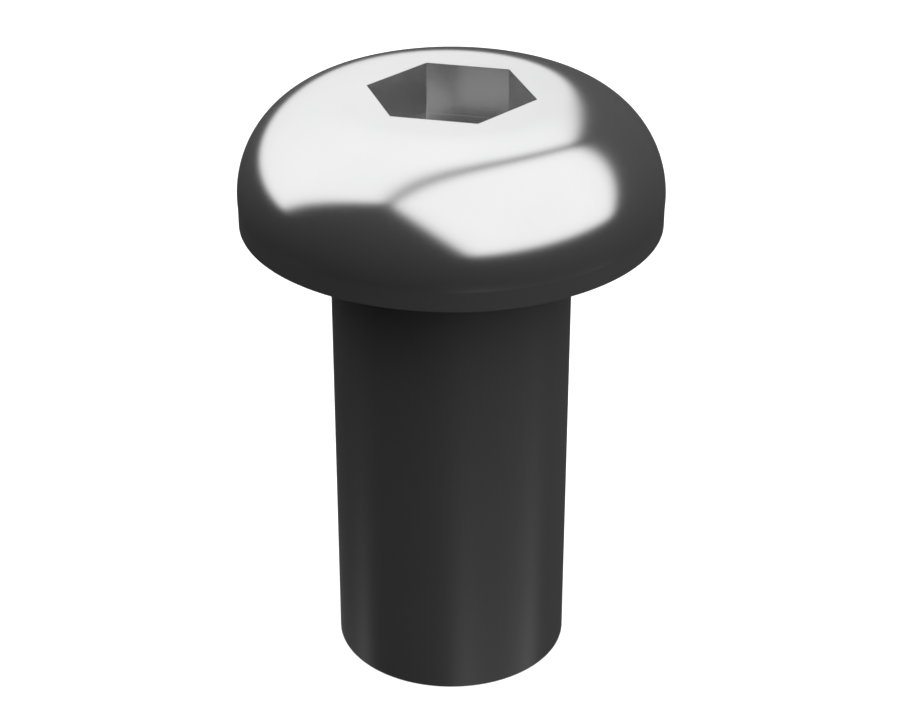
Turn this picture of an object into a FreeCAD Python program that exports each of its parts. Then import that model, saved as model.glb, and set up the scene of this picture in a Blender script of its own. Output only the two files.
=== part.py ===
"""Socket pan head bolt, M10 x 20 class, one forged and turned piece of dark steel.

Frame: +Z runs along the bolt's axis towards the head. The origin is the centre of
the bearing face, the flat underside of the head. The shank reaches down from it to
z = -shank_length, and the head rises to z = head_height. Two opposite corners of
the hexagon socket lie along X, so two of its flats face along Y. Millimetres.
"""
import FreeCAD, Part
import math
import os

import Sketcher

V = FreeCAD.Vector
NODE = "bolt"

# name, value in millimetres, what it is
DIMENSIONS = [
    ("shank_diameter", 10.0, "plain shank, at the major diameter of an M10 thread"),
    ("shank_length", 20.1, "from the bearing face to the flat end"),
    ("neck_radius", 0.4, "fillet where the shank runs into the bearing face"),
    ("head_diameter", 17.4, "widest diameter of the head"),
    ("head_height", 5.4, "from the bearing face to the flat top"),
    ("band_height", 0.8, "upright band round the lower edge of the head"),
    ("dome_radius", 4.2, "rounding from the band to the flat top"),
    ("socket_flats", 6.03, "hexagon socket, across its flats"),
    ("socket_depth", 2.2, "from the flat top to the socket's flat floor"),
]

doc = FreeCAD.newDocument("socket_pan_head_bolt")

# ---------------------------------------------------------------- driving sizes
sheet = doc.addObject("Spreadsheet::Sheet", "sizes")
sheet.set("A1", "name")
sheet.set("B1", "mm")
sheet.set("C1", "what it is")
for row, (alias, value, words) in enumerate(DIMENSIONS, start=2):
    sheet.set("A%d" % row, alias)
    sheet.set("B%d" % row, str(value))
    sheet.setAlias("B%d" % row, alias)
    sheet.set("C%d" % row, words)
doc.recompute()

size = {alias: float(getattr(sheet, alias)) for alias, _, _ in DIMENSIONS}

# ------------------------------------------------------------------------- body
body = doc.addObject("PartDesign::Body", NODE)
body.Label = NODE
body.Placement = FreeCAD.Placement()


def plane(role):
    """The body's own origin plane with this role."""
    for feature in body.Origin.OriginFeatures:
        if feature.Role == role:
            return feature
    raise RuntimeError("no origin plane " + role)


def new_sketch(name, role):
    sketch = body.newObject("Sketcher::SketchObject", name)
    sketch.AttachmentSupport = [(plane(role), "")]
    sketch.MapMode = "FlatFace"
    return sketch


def size_by(sketch, name, constraint, formula):
    """A driving dimension of a sketch, bound to the sheet."""
    index = sketch.addConstraint(constraint)
    sketch.renameConstraint(index, name)
    sketch.setExpression("Constraints." + name, formula)


def must_be_full(sketch):
    doc.recompute()
    if sketch.solve() != 0 or not sketch.FullyConstrained:
        raise RuntimeError(sketch.Name + " is not fully constrained")


# Half section of the whole bolt, turned round the axis: sketch x is the radius and
# sketch y the height. START and END number a curve's ends, H_AXIS and V_AXIS the
# sketch's own axes, whose point 1 is the origin.
START, END, CENTRE = 1, 2, 3
H_AXIS, V_AXIS = -1, -2

r_shank = size["shank_diameter"] / 2
r_neck = size["neck_radius"]
r_head = size["head_diameter"] / 2
r_dome = size["dome_radius"]
z_end = -size["shank_length"]
z_top = size["head_height"]
z_band = size["band_height"]
x_dome = r_head - r_dome
z_dome = z_top - r_dome
# the rounding is widest a little above the band and meets it in a faint crease
lean = math.asin((z_dome - z_band) / r_dome)
x_band = x_dome + r_dome * math.cos(lean)

profile = new_sketch("half_section", "XZ_Plane")


def line(x0, y0, x1, y1):
    return profile.addGeometry(Part.LineSegment(V(x0, y0, 0), V(x1, y1, 0)), False)


def arc(x, y, r, a0, a1):
    circle = Part.Circle(V(x, y, 0), V(0, 0, 1), r)
    return profile.addGeometry(Part.ArcOfCircle(circle, a0, a1), False)


end_face = line(0, z_end, r_shank, z_end)
shank = line(r_shank, z_end, r_shank, -r_neck)
neck = arc(r_shank + r_neck, -r_neck, r_neck, math.pi / 2, math.pi)
bearing = line(r_shank + r_neck, 0, x_band, 0)
band = line(x_band, 0, x_band, z_band)
dome = arc(x_dome, z_dome, r_dome, -lean, math.pi / 2)
top = line(x_dome, z_top, 0, z_top)
axis = line(0, z_top, 0, z_end)

C = Sketcher.Constraint
profile.addConstraint(
    [
        C("Coincident", axis, END, end_face, START),
        C("Coincident", end_face, END, shank, START),
        C("Tangent", shank, END, neck, END),
        C("Tangent", neck, START, bearing, START),
        C("Coincident", bearing, END, band, START),
        C("Coincident", band, END, dome, START),
        C("Tangent", dome, END, top, START),
        C("Coincident", top, END, axis, START),
        C("Horizontal", end_face),
        C("Vertical", shank),
        C("Vertical", band),
        C("Horizontal", top),
        C("PointOnObject", axis, START, V_AXIS),
        C("PointOnObject", axis, END, V_AXIS),
        C("PointOnObject", bearing, START, H_AXIS),
        C("PointOnObject", bearing, END, H_AXIS),
    ]
)
size_by(
    profile,
    "shank_half",
    C("DistanceX", end_face, START, end_face, END, r_shank),
    "sizes.shank_diameter / 2",
)
size_by(
    profile,
    "shank_length",
    C("DistanceY", end_face, END, H_AXIS, START, -z_end),
    "sizes.shank_length",
)
size_by(profile, "neck_radius", C("Radius", neck, r_neck), "sizes.neck_radius")
size_by(
    profile,
    "band_height",
    C("DistanceY", band, START, band, END, z_band),
    "sizes.band_height",
)
size_by(profile, "dome_radius", C("Radius", dome, r_dome), "sizes.dome_radius")
size_by(
    profile,
    "dome_centre",
    C("DistanceX", H_AXIS, START, dome, CENTRE, x_dome),
    "sizes.head_diameter / 2 - sizes.dome_radius",
)
size_by(
    profile,
    "head_height",
    C("DistanceY", H_AXIS, START, top, END, z_top),
    "sizes.head_height",
)
must_be_full(profile)

blank = body.newObject("PartDesign::Revolution", "turned_blank")
blank.Profile = profile
blank.ReferenceAxis = (profile, ["V_Axis"])
blank.Angle = 360.0
doc.recompute()
blank_volume = body.Shape.Volume

# ----------------------------------------------------------------------- socket
hexagon = new_sketch("socket_hexagon", "XY_Plane")
hexagon.setExpression("AttachmentOffset.Base.z", "sizes.head_height")
r_corner = size["socket_flats"] / 2 / math.cos(math.pi / 6)
corners = [
    V(r_corner * math.cos(k * math.pi / 3), r_corner * math.sin(k * math.pi / 3), 0)
    for k in range(6)
]
sides = [
    hexagon.addGeometry(Part.LineSegment(corners[k], corners[(k + 1) % 6]), False)
    for k in range(6)
]
ring = hexagon.addGeometry(Part.Circle(V(0, 0, 0), V(0, 0, 1), r_corner), True)
hexagon.addConstraint(
    [C("Coincident", sides[k], END, sides[(k + 1) % 6], START) for k in range(6)]
    + [C("Equal", sides[0], sides[k]) for k in range(1, 6)]
    + [C("PointOnObject", sides[k], START, ring) for k in range(6)]
    + [
        C("Coincident", ring, CENTRE, H_AXIS, START),
        C("PointOnObject", sides[0], START, H_AXIS),
    ]
)
# sides 1 and 4 are the flats that face along Y
size_by(
    hexagon,
    "across_flats",
    C("DistanceY", sides[4], START, sides[1], START, size["socket_flats"]),
    "sizes.socket_flats",
)
must_be_full(hexagon)

socket = body.newObject("PartDesign::Pocket", "hexagon_socket")
socket.Profile = hexagon
socket.Type = "Length"
socket.setExpression("Length", "sizes.socket_depth")
doc.recompute()
hexagon_area = math.sqrt(3) / 2 * size["socket_flats"] ** 2
removed = blank_volume - body.Shape.Volume
if abs(removed - hexagon_area * size["socket_depth"]) > 0.01:
    raise RuntimeError("the socket cut %.3f mm3" % removed)
body.Tip = socket
doc.recompute()

# ----------------------------------------------------------------------- checks
for thing in doc.Objects:
    bad = [state for state in thing.State if state in ("Invalid", "Error")]
    if bad:
        raise RuntimeError("%s: %s" % (thing.Name, ", ".join(bad)))
shape = body.Shape
if shape.isNull() or not shape.isValid() or len(shape.Solids) != 1:
    raise RuntimeError(NODE + " is not one valid solid")
box = shape.optimalBoundingBox()
centre = shape.Solids[0].CenterOfMass
print("%s: %.3f x %.3f x %.3f mm" % (NODE, box.XLength, box.YLength, box.ZLength))
print("%s: z %.3f to %.3f, volume %.3f mm3" % (NODE, box.ZMin, box.ZMax, shape.Volume))
print("%s: %d faces, centre of mass z %.3f" % (NODE, len(shape.Faces), centre.z))

os.makedirs("parts", exist_ok=True)
shape.exportStep("parts/%s.step" % NODE)
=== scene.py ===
"""Looks of a socket pan head bolt in dark steel, standing on a pale studio floor.

The bolt is one forged and turned piece, so it is one mesh: rings of points turned
round the axis, which change into the rounded hexagon of the socket across the flat
top and back into a circle on the socket's floor. Metres, with the origin at the
centre of the bearing face, +Z towards the head and two corners of the hexagon on X.
"""

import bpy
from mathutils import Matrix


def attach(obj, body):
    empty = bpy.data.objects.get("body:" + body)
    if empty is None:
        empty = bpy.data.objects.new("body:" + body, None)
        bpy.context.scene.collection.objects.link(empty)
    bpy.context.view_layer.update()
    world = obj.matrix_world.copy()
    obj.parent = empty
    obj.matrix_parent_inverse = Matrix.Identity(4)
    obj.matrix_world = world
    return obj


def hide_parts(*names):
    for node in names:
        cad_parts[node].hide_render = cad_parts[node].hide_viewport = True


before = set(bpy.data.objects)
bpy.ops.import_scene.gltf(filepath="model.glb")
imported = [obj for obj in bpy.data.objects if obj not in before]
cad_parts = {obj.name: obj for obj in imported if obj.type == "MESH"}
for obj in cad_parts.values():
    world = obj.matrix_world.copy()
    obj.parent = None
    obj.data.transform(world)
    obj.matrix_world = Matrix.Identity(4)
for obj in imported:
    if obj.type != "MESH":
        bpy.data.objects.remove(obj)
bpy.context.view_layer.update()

import math

import bpy
from mathutils import Matrix, Vector

MM = 0.001

# ------------------------------------------------------------------ sizes, in mm
R_SHANK = 5.0
L_SHANK = 20.1
R_NECK = 0.4
R_HEAD = 8.7
H_HEAD = 5.4
H_BAND = 0.8
R_DOME = 4.2
FLATS = 6.03
DEPTH = 2.2

# the small roundings that every real edge has
ROUND_END = 0.02  # edge of the shank's flat end
ROUND_RIM = 0.012  # lower edge of the head
ROUND_MOUTH = 0.012  # mouth of the socket
ROUND_CORNER = 0.04  # the socket's six corners
ROUND_FLOOR = 0.004  # foot of the socket's walls

AROUND = 50  # points in each sixth of a turn
CORNER_STEPS = 8  # of them, those that turn round one corner of the socket


# --------------------------------------------------------------------- the rings
def circle_angles():
    """Evenly spaced directions, with the first corner of the hexagon at the start."""
    n = 6 * AROUND
    return [2 * math.pi * k / n for k in range(n)]


def circle(radius, z):
    return [(radius * math.cos(a), radius * math.sin(a), z) for a in circle_angles()]


def hexagon_points():
    """Corner arcs and flats of the socket: (centre x, centre y, direction x,
    direction y, along), so that a point lies at centre + direction * corner radius."""
    half = FLATS / 2
    out = []
    flat_steps = AROUND - CORNER_STEPS
    # centres of the corner arcs
    reach = (half - ROUND_CORNER) / math.cos(math.pi / 6)
    side = reach  # the hexagon of the arcs' centres has sides as long as its radius
    for k in range(6):
        a = k * math.pi / 3
        cx, cy = reach * math.cos(a), reach * math.sin(a)
        for i in range(CORNER_STEPS // 2 + 1):
            t = a + math.pi / 6 * i / (CORNER_STEPS // 2)
            out.append((k, cx, cy, math.cos(t), math.sin(t)))
        b = a + math.pi / 6
        nx, ny = math.cos(b), math.sin(b)
        ax, ay = -math.sin(b), math.cos(b)
        for i in range(1, flat_steps):
            # closer together next to the corners
            u = i / flat_steps
            s = u - 0.85 * math.sin(2 * math.pi * u) / (2 * math.pi)
            out.append((k, cx + ax * side * s, cy + ay * side * s, nx, ny))
        c = a + math.pi / 3
        cx, cy = reach * math.cos(c), reach * math.sin(c)
        for i in range(CORNER_STEPS // 2):
            t = b + math.pi / 6 * i / (CORNER_STEPS // 2)
            out.append((k, cx, cy, math.cos(t), math.sin(t)))
    return [(cx, cy, nx, ny) for _, cx, cy, nx, ny in out]


HEXAGON = hexagon_points()
if len(HEXAGON) != 6 * AROUND:
    raise RuntimeError("the hexagon has %d points" % len(HEXAGON))


def hexagon(offset, z):
    """The socket's outline, grown by offset."""
    r = ROUND_CORNER + offset
    return [(cx + nx * r, cy + ny * r, z) for cx, cy, nx, ny in HEXAGON]


def between(a, b, t, z):
    return [
        (p[0] * (1 - t) + q[0] * t, p[1] * (1 - t) + q[1] * t, z)
        for p, q in zip(a, b)
    ]


def arc(cr, cz, radius, start, stop, steps):
    """Points (r, z) along an arc, both ends included. Degrees."""
    return [
        (
            cr + radius * math.cos(math.radians(start + (stop - start) * i / steps)),
            cz + radius * math.sin(math.radians(start + (stop - start) * i / steps)),
        )
        for i in range(steps + 1)
    ]


def bolt_rings():
    x_dome, z_dome = R_HEAD - R_DOME, H_HEAD - R_DOME
    lean = math.degrees(math.asin((z_dome - H_BAND) / R_DOME))
    r_band = x_dome + R_DOME * math.cos(math.radians(lean))
    z_end = -L_SHANK
    rim = R_SHANK - ROUND_END
    section = [(r, z_end) for r in (0.6, 1.4, 2.2, 3.0, 3.8, 4.5, rim - 0.12, rim - 0.006)]
    section += arc(rim, z_end + ROUND_END, ROUND_END, -90, 0, 6)
    low, high = z_end + ROUND_END, -R_NECK
    section += [(R_SHANK, low + d) for d in (0.006, 0.12, 0.4)]
    section += [
        (R_SHANK, low + 0.4 + (high - 0.3 - low - 0.4) * i / 20) for i in range(1, 21)
    ]
    section += [(R_SHANK, high - 0.08)]
    section += arc(R_SHANK + R_NECK, high, R_NECK, 180, 90, 8)
    face = r_band - ROUND_RIM
    section += [(r, 0.0) for r in (5.46, 5.7, 6.4, 7.1, 7.8, 8.3, face - 0.1, face - 0.006)]
    section += arc(face, ROUND_RIM, ROUND_RIM, -90, 0, 6)
    section += [
        (r_band, z) for z in (ROUND_RIM + 0.006, 0.12, 0.26, 0.4, 0.54, 0.66, 0.74, H_BAND - 0.01)
    ]
    # a close pair of rings keeps the faint crease where the rounding starts
    section += arc(x_dome, z_dome, R_DOME, -lean, -lean + 0.15, 1)
    section += arc(x_dome, z_dome, R_DOME, -lean + 1.2, 90, 62)
    rings = [circle(r, z) for r, z in section]

    # flat top, from the end of the rounding in to the socket's mouth
    outer = circle(x_dome, H_HEAD)
    mouth = hexagon(ROUND_MOUTH, H_HEAD)
    near = hexagon(ROUND_MOUTH + 0.006, H_HEAD)
    wide = hexagon(ROUND_MOUTH + 0.12, H_HEAD)
    rings += [between(outer, wide, t, H_HEAD) for t in (0.12, 0.35, 0.65)]
    rings += [wide, near]
    # rounding of the mouth, walls and the foot of the walls
    steps = 5
    for i in range(steps + 1):
        t = math.pi / 2 * i / steps
        rings.append(
            hexagon(
                ROUND_MOUTH * (1 - math.sin(t)),
                H_HEAD - ROUND_MOUTH * (1 - math.cos(t)),
            )
        )
    z_floor = H_HEAD - DEPTH
    top, foot = H_HEAD - ROUND_MOUTH, z_floor + ROUND_FLOOR
    for z in [top - 0.006, top - 0.12] + [
        top - 0.12 + (foot + 0.12 - top + 0.12) * i / 8 for i in range(1, 9)
    ] + [foot + 0.03, foot + 0.003]:
        rings.append(hexagon(0.0, z))
    small = min(ROUND_FLOOR, ROUND_CORNER * 0.9)
    for i in range(steps + 1):
        t = math.pi / 2 * i / steps
        rings.append(
            hexagon(
                -small * (1 - math.cos(t)),
                z_floor + ROUND_FLOOR * (1 - math.sin(t)),
            )
        )
    # the flat floor
    edge = hexagon(-small, z_floor)
    inner = circle(2.2, z_floor)
    rings += [between(edge, inner, t, z_floor) for t in (0.003, 0.03, 0.12, 0.4, 0.7)]
    rings += [circle(r, z_floor) for r in (2.2, 1.6, 1.0, 0.5, 0.2)]
    low_tip = (0.0, 0.0, z_end)
    high_tip = (0.0, 0.0, z_floor)
    return rings, low_tip, high_tip


def build_bolt():
    rings, low_tip, high_tip = bolt_rings()
    n = 6 * AROUND
    points = [p for ring in rings for p in ring]
    faces = []
    for k in range(len(rings) - 1):
        a, b = k * n, (k + 1) * n
        for i in range(n):
            j = (i + 1) % n
            faces.append((a + i, a + j, b + j, b + i))
    first, last = len(points), len(points) + 1
    points += [low_tip, high_tip]
    top = (len(rings) - 1) * n
    for i in range(n):
        j = (i + 1) % n
        faces.append((first, j, i))
        faces.append((top + i, top + j, last))
    mesh = bpy.data.meshes.new("socket_head_bolt")
    mesh.from_pydata([(x * MM, y * MM, z * MM) for x, y, z in points], [], faces)
    mesh.validate()
    mesh.update()
    mesh.polygons.foreach_set("use_smooth", [True] * len(mesh.polygons))
    piece = bpy.data.objects.new("socket_head_bolt", mesh)
    bpy.context.scene.collection.objects.link(piece)
    return piece


# --------------------------------------------------------------------- materials
def new_material(name):
    material = bpy.data.materials.new(name)
    material.use_nodes = True
    tree = material.node_tree
    shader = next(n for n in tree.nodes if n.type == "BSDF_PRINCIPLED")
    return material, tree, shader


def dark_steel():
    """Satin steel: a smooth forged skin with a fine grain, faint clouding of its
    tone and gloss, and the faintest turning marks round the axis."""
    material, tree, shader = new_material("dark_steel")
    nodes, link = tree.nodes, tree.links.new
    shader.inputs["Metallic"].default_value = 0.8935
    shader.inputs["Specular Tint"].default_value = (0.73, 0.73, 0.73, 1.0)
    shader.inputs["Specular IOR Level"].default_value = 0.0

    where = nodes.new("ShaderNodeTexCoord")

    def noise(scale, detail, rough=0.5, source=None):
        node = nodes.new("ShaderNodeTexNoise")
        node.inputs["Scale"].default_value = scale
        node.inputs["Detail"].default_value = detail
        node.inputs["Roughness"].default_value = rough
        link(source or where.outputs["Object"], node.inputs["Vector"])
        return node.outputs["Fac"]

    def mapped(value, low, high, to_low, to_high):
        node = nodes.new("ShaderNodeMapRange")
        node.clamp = True
        node.inputs["From Min"].default_value = low
        node.inputs["From Max"].default_value = high
        node.inputs["To Min"].default_value = to_low
        node.inputs["To Max"].default_value = to_high
        link(value, node.inputs["Value"])
        return node.outputs["Result"]

    def math_node(kind, a, b):
        node = nodes.new("ShaderNodeMath")
        node.operation = kind
        for socket, value in zip(node.inputs, (a, b)):
            if isinstance(value, (int, float)):
                socket.default_value = value
            else:
                link(value, socket)
        return node.outputs["Value"]

    clouds = noise(260.0, 3.0)
    grain = noise(5200.0, 2.0)

    tone = nodes.new("ShaderNodeValToRGB")
    tone.color_ramp.elements[0].position = 0.3
    tone.color_ramp.elements[0].color = (0.518, 0.518, 0.520, 1.0)
    tone.color_ramp.elements[1].position = 0.7
    tone.color_ramp.elements[1].color = (0.534, 0.534, 0.534, 1.0)
    link(clouds, tone.inputs["Fac"])
    link(tone.outputs["Color"], shader.inputs["Base Color"])

    gloss = math_node(
        "ADD",
        mapped(clouds, 0.3, 0.7, 0.148, 0.158),
        mapped(grain, 0.3, 0.7, -0.004, 0.004),
    )
    link(gloss, shader.inputs["Roughness"])

    # turning marks: noise drawn out round the axis
    split = nodes.new("ShaderNodeSeparateXYZ")
    link(where.outputs["Object"], split.inputs[0])
    radius = math_node(
        "SQRT",
        math_node(
            "ADD",
            math_node("MULTIPLY", split.outputs["X"], split.outputs["X"]),
            math_node("MULTIPLY", split.outputs["Y"], split.outputs["Y"]),
        ),
        0.0,
    )
    turned = nodes.new("ShaderNodeCombineXYZ")
    link(radius, turned.inputs["X"])
    link(split.outputs["Z"], turned.inputs["Y"])
    marks = noise(6500.0, 2.0, 0.6, turned.outputs["Vector"])

    height = math_node(
        "ADD", math_node("MULTIPLY", grain, 0.6), math_node("MULTIPLY", marks, 0.4)
    )
    bump = nodes.new("ShaderNodeBump")
    bump.inputs["Strength"].default_value = 0.15
    bump.inputs["Distance"].default_value = 0.000002
    link(height, bump.inputs["Height"])
    link(bump.outputs["Normal"], shader.inputs["Normal"])
    return material


bolt = build_bolt()
bolt.data.materials.append(dark_steel())
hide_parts("bolt")
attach(bolt, "root")


# -------------------------------------------------------------- studio and camera
# Compass directions here are seen from the camera: 0 is straight ahead of it, 90 is
# to its right. The camera stands this far round from the -Y axis.
TURN = math.radians(12.867)
TURNED = Matrix.Rotation(TURN, 4, "Z")


def disc(name, radius, z, sides=96):
    mesh = bpy.data.meshes.new(name)
    ring = [
        (radius * math.cos(2 * math.pi * k / sides), radius * math.sin(2 * math.pi * k / sides), z)
        for k in range(sides)
    ]
    mesh.from_pydata(ring, [], [tuple(range(sides))])
    thing = bpy.data.objects.new(name, mesh)
    bpy.context.scene.collection.objects.link(thing)
    return thing


floor = disc("floor", 4.0, -L_SHANK * MM)
material, tree, shader = new_material("pale_floor")
shader.inputs["Base Color"].default_value = (0.8, 0.8, 0.8, 1.0)
shader.inputs["Emission Color"].default_value = (1.0, 1.0, 1.0, 1.0)
shader.inputs["Emission Strength"].default_value = 0.30
shader.inputs["Roughness"].default_value = 1.0
shader.inputs["Specular IOR Level"].default_value = 0.0
material.cycles.emission_sampling = "NONE"
floor.data.materials.append(material)
floor.visible_glossy = False
floor.visible_diffuse = False
floor.visible_shadow = False


def backdrop():
    """A large pale dome behind everything, which gives the object no light."""
    mesh = bpy.data.meshes.new("backdrop")
    rows, sides, radius = 12, 48, 1.2
    points, faces = [], []
    for r in range(rows):
        e = math.radians(-20 + 105 * r / (rows - 1))
        for k in range(sides):
            a = 2 * math.pi * k / sides
            points.append(
                (radius * math.cos(e) * math.cos(a), radius * math.cos(e) * math.sin(a), radius * math.sin(e))
            )
    for r in range(rows - 1):
        for k in range(sides):
            j = (k + 1) % sides
            faces.append((r * sides + k, (r + 1) * sides + k, (r + 1) * sides + j, r * sides + j))
    faces.append(tuple((rows - 1) * sides + k for k in reversed(range(sides))))
    mesh.from_pydata(points, [], faces)
    thing = bpy.data.objects.new("backdrop", mesh)
    bpy.context.scene.collection.objects.link(thing)
    material = bpy.data.materials.new("pale_backdrop")
    material.use_nodes = True
    nodes = material.node_tree.nodes
    nodes.clear()
    glow = nodes.new("ShaderNodeEmission")
    glow.inputs["Color"].default_value = (1.0, 1.0, 1.0, 1.0)
    glow.inputs["Strength"].default_value = 1.1
    out = nodes.new("ShaderNodeOutputMaterial")
    material.node_tree.links.new(glow.outputs[0], out.inputs["Surface"])
    thing.data.materials.append(material)
    thing.visible_diffuse = False
    thing.visible_glossy = False
    thing.visible_transmission = False
    thing.visible_shadow = False
    return thing


backdrop()


def softbox(name, compass, height, edges, radiance, fades, distance=3.0):
    """A rectangular light with fading edges. It lies in a plane square to the
    direction (compass, height, degrees) at that distance, and its edges (left, right,
    low, high) are given there as shares of the distance. Its light fades out across
    each of them as 1 / (1 + exp(-x / fade))."""
    az, el = math.radians(compass), math.radians(height)
    n = Vector((math.sin(az) * math.cos(el), math.cos(az) * math.cos(el), math.sin(el)))
    s = Vector((math.cos(az), -math.sin(az), 0))
    t = Vector((-math.sin(az) * math.sin(el), -math.cos(az) * math.sin(el), math.cos(el)))
    margins = [7 * fade for fade in fades]
    left, right = edges[0] - margins[0], edges[1] + margins[1]
    low, high = edges[2] - margins[2], edges[3] + margins[3]
    width, tall = right - left, high - low
    light = bpy.data.lights.new(name, "AREA")
    light.shape = "RECTANGLE"
    light.size = width * distance
    light.size_y = tall * distance
    light.energy = radiance * math.pi * light.size * light.size_y
    light.color = (1.0, 1.0, 1.0)

    light.use_nodes = True
    nodes, link = light.node_tree.nodes, light.node_tree.links.new
    glow = next(node for node in nodes if node.type == "EMISSION")

    def step(kind, a, b=None):
        node = nodes.new("ShaderNodeMath")
        node.operation = kind
        for socket, value in zip(node.inputs, (a, b)):
            if value is None:
                continue
            if isinstance(value, (int, float)):
                socket.default_value = value
            else:
                link(value, socket)
        return node.outputs["Value"]

    place = nodes.new("ShaderNodeSeparateXYZ")
    across = nodes.new("ShaderNodeNewGeometry")
    link(across.outputs["Parametric"], place.inputs[0])
    share = None
    # the light's own X runs from its right edge to its left one, and Y from low to high
    for axis, length, first, last in (("X", width, 1, 0), ("Y", tall, 2, 3)):
        here = step("MULTIPLY", place.outputs[axis], length)
        for k, depth in (
            (first, step("SUBTRACT", here, margins[first])),
            (last, step("SUBTRACT", length - margins[last], here)),
        ):
            edge = step(
                "DIVIDE",
                1.0,
                step("ADD", step("EXPONENT", step("DIVIDE", depth, -fades[k])), 1.0),
            )
            share = edge if share is None else step("MULTIPLY", share, edge)
    link(share, glow.inputs["Strength"])

    lamp = bpy.data.objects.new(name, light)
    axes = Matrix((-s, t, n)).transposed().to_4x4()
    centre = (n + s * (left + right) / 2 + t * (low + high) / 2) * distance
    # aimed at the middle of the head
    lamp.matrix_world = TURNED @ Matrix.Translation(centre + Vector((0, 0, 0.003))) @ axes
    lamp.visible_camera = False
    bpy.context.scene.collection.objects.link(lamp)
    return lamp


softbox(
    "left_softbox", -47.505, 51.187,
    (-1.0374, 1.2578, -1.0712, 0.6807), 1.711, (0.0500, 0.0440, 0.0398, 0.0456),
)
softbox(
    "right_softbox", 132.375, 49.769,
    (-1.3473, 1.1309, -1.0214, 0.8174), 1.721, (0.0768, 0.0630, 0.0493, 0.0425),
)
# two dim ones, low down, which only draw faint streaks on the foot of the shank
for lamp in (
    softbox(
        "low_left_softbox", -53.12, -50.0,
        (-0.4065, 0.4097, -0.3, 0.1934), 0.2375, (0.0797, 0.2473, 0.0600, 0.0376),
    ),
    softbox(
        "low_right_softbox", 133.10, -50.0,
        (-0.6463, 0.4938, -0.3, 0.1143), 0.2410, (0.1085, 0.0973, 0.0600, 0.0502),
    ),
):
    lamp.visible_diffuse = False
# and two small ones behind the bolt, which only lift the tone of its sides
for name, compass, height, radiance in (
    ("back_right_fill", 30.0, -3.0, 2.380),
    ("back_left_fill", -30.0, 3.0, 1.700),
):
    lamp = softbox(name, compass, height, (-0.5, 0.5, -0.4, 0.4), radiance, (0.05,) * 4)
    lamp.visible_glossy = False

world = bpy.data.worlds.new("studio")
world.use_nodes = True
sky = next(n for n in world.node_tree.nodes if n.type == "BACKGROUND")
sky.inputs["Color"].default_value = (1.0, 1.0, 1.0, 1.0)
sky.inputs["Strength"].default_value = 0.00155
bpy.context.scene.world = world

camera_data = bpy.data.cameras.new("camera")
camera_data.sensor_width = 36.0
camera_data.lens = 86.666
camera_data.clip_start = 0.005
camera_data.clip_end = 50.0
camera = bpy.data.objects.new("camera", camera_data)
pitch, yaw, roll = math.radians(28.314), math.radians(-0.0391), math.radians(-0.0176)
ahead = Vector((math.sin(yaw) * math.cos(pitch), math.cos(yaw) * math.cos(pitch), -math.sin(pitch)))
right = Vector((math.cos(yaw), -math.sin(yaw), 0))
up = right.cross(ahead)
right, up = (
    math.cos(roll) * right + math.sin(roll) * up,
    -math.sin(roll) * right + math.cos(roll) * up,
)
camera.matrix_world = (
    TURNED
    @ Matrix.Translation((0.0, -0.0809390, 0.0369002))
    @ Matrix((right, up, -ahead)).transposed().to_4x4()
)
bpy.context.scene.collection.objects.link(camera)
bpy.context.scene.camera = camera

scene = bpy.context.scene
scene.view_settings.view_transform = "Standard"
scene.view_settings.look = "None"
scene.view_settings.exposure = 0.0
scene.view_settings.gamma = 1.0
scene.cycles.glossy_bounces = 8
scene.cycles.blur_glossy = 0.0
